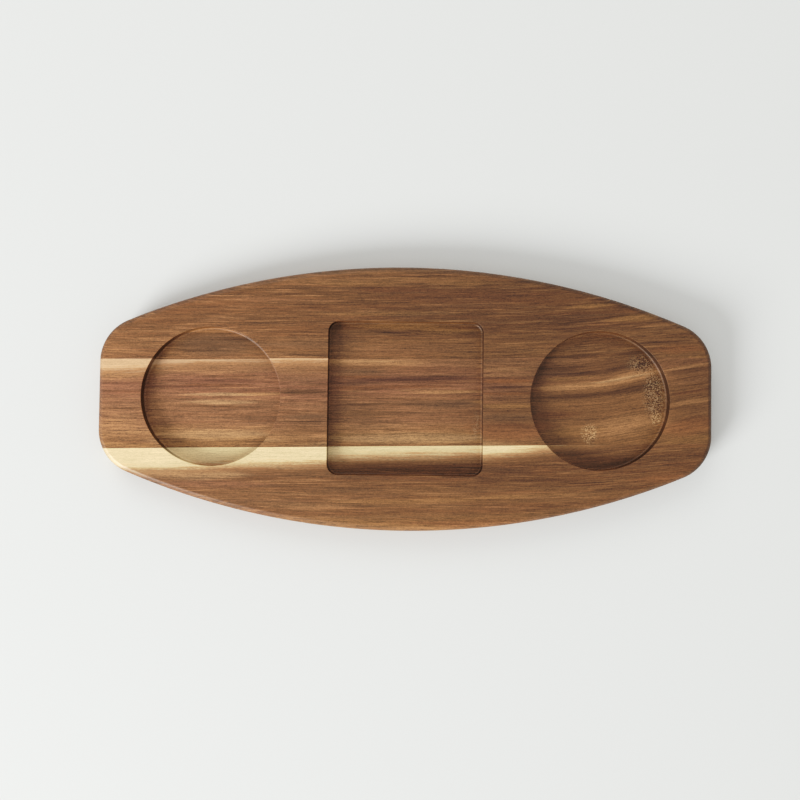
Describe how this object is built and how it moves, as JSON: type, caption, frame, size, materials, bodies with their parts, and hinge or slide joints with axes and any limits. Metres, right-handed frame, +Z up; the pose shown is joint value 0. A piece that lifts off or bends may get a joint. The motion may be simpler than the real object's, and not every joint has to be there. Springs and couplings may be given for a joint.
{
  "type": "chip and dip server",
  "caption": "Boat-shaped edge-glued wooden serving board with a square dish recess between round dip-bowl recesses.",
  "frame": {"origin": "centre of the flat underside", "axes": "+X along the board through the centres of the three recesses, +Y towards the rear stave, +Z up out of the recesses"},
  "size_m": [0.4, 0.1724, 0.02],
  "materials": {
    "front_stave_wood": "brown acacia heartwood with a cream sapwood band, oiled satin",
    "middle_stave_wood": "streaky red-brown acacia, oiled satin",
    "rear_stave_wood": "straight-grained brown acacia, oiled satin",
    "wood_glue": "cured wood glue, dark and dull"
  },
  "bodies": {
    "root": {"front_stave": "front_stave_wood", "middle_stave": "middle_stave_wood", "rear_stave": "rear_stave_wood", "front_glue_line": "wood_glue", "rear_glue_line": "wood_glue"}
  },
  "joints": []
}
